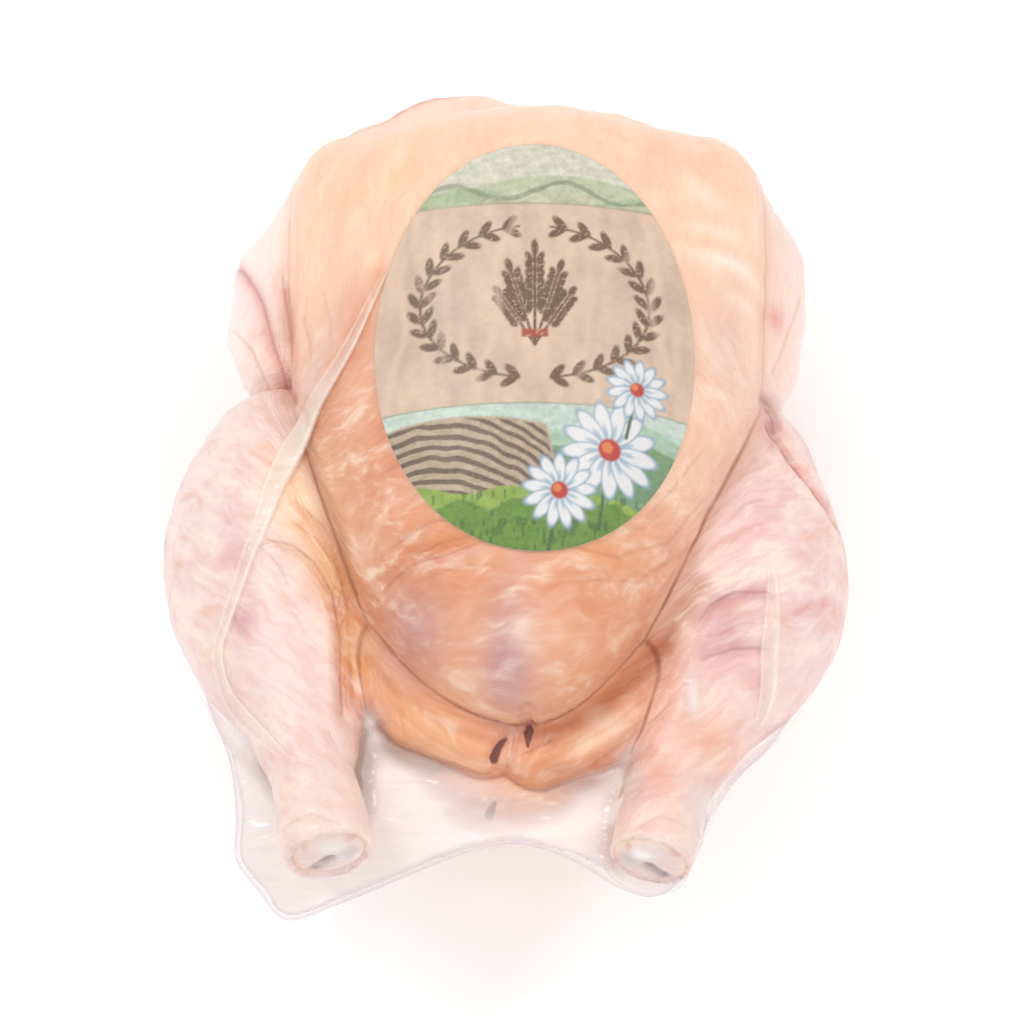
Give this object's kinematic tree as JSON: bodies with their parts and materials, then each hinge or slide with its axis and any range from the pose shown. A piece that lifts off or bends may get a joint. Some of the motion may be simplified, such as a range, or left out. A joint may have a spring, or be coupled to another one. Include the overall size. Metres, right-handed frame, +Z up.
{
  "type": "whole raw chicken in a clear bag",
  "caption": "Whole raw chicken lying on its back, sealed in a tight clear bag with a welded edge past the legs, and an oval paper label on the breast.",
  "frame": {"origin": "centre of the bounding box on the table that the back rests on", "axes": "+Z up, away from the table; +Y from the tail to the neck, the longest way; +X to the bird's left side as it lies"},
  "size_m": [0.1916, 0.2342, 0.1202],
  "materials": {
    "bag": "clear glossy film drawn tight over pale peach skin",
    "label": "brown paper with printed fields of colour, matt"
  },
  "bodies": {
    "root": {"bagged_chicken": "bag", "label": "label"}
  },
  "joints": []
}
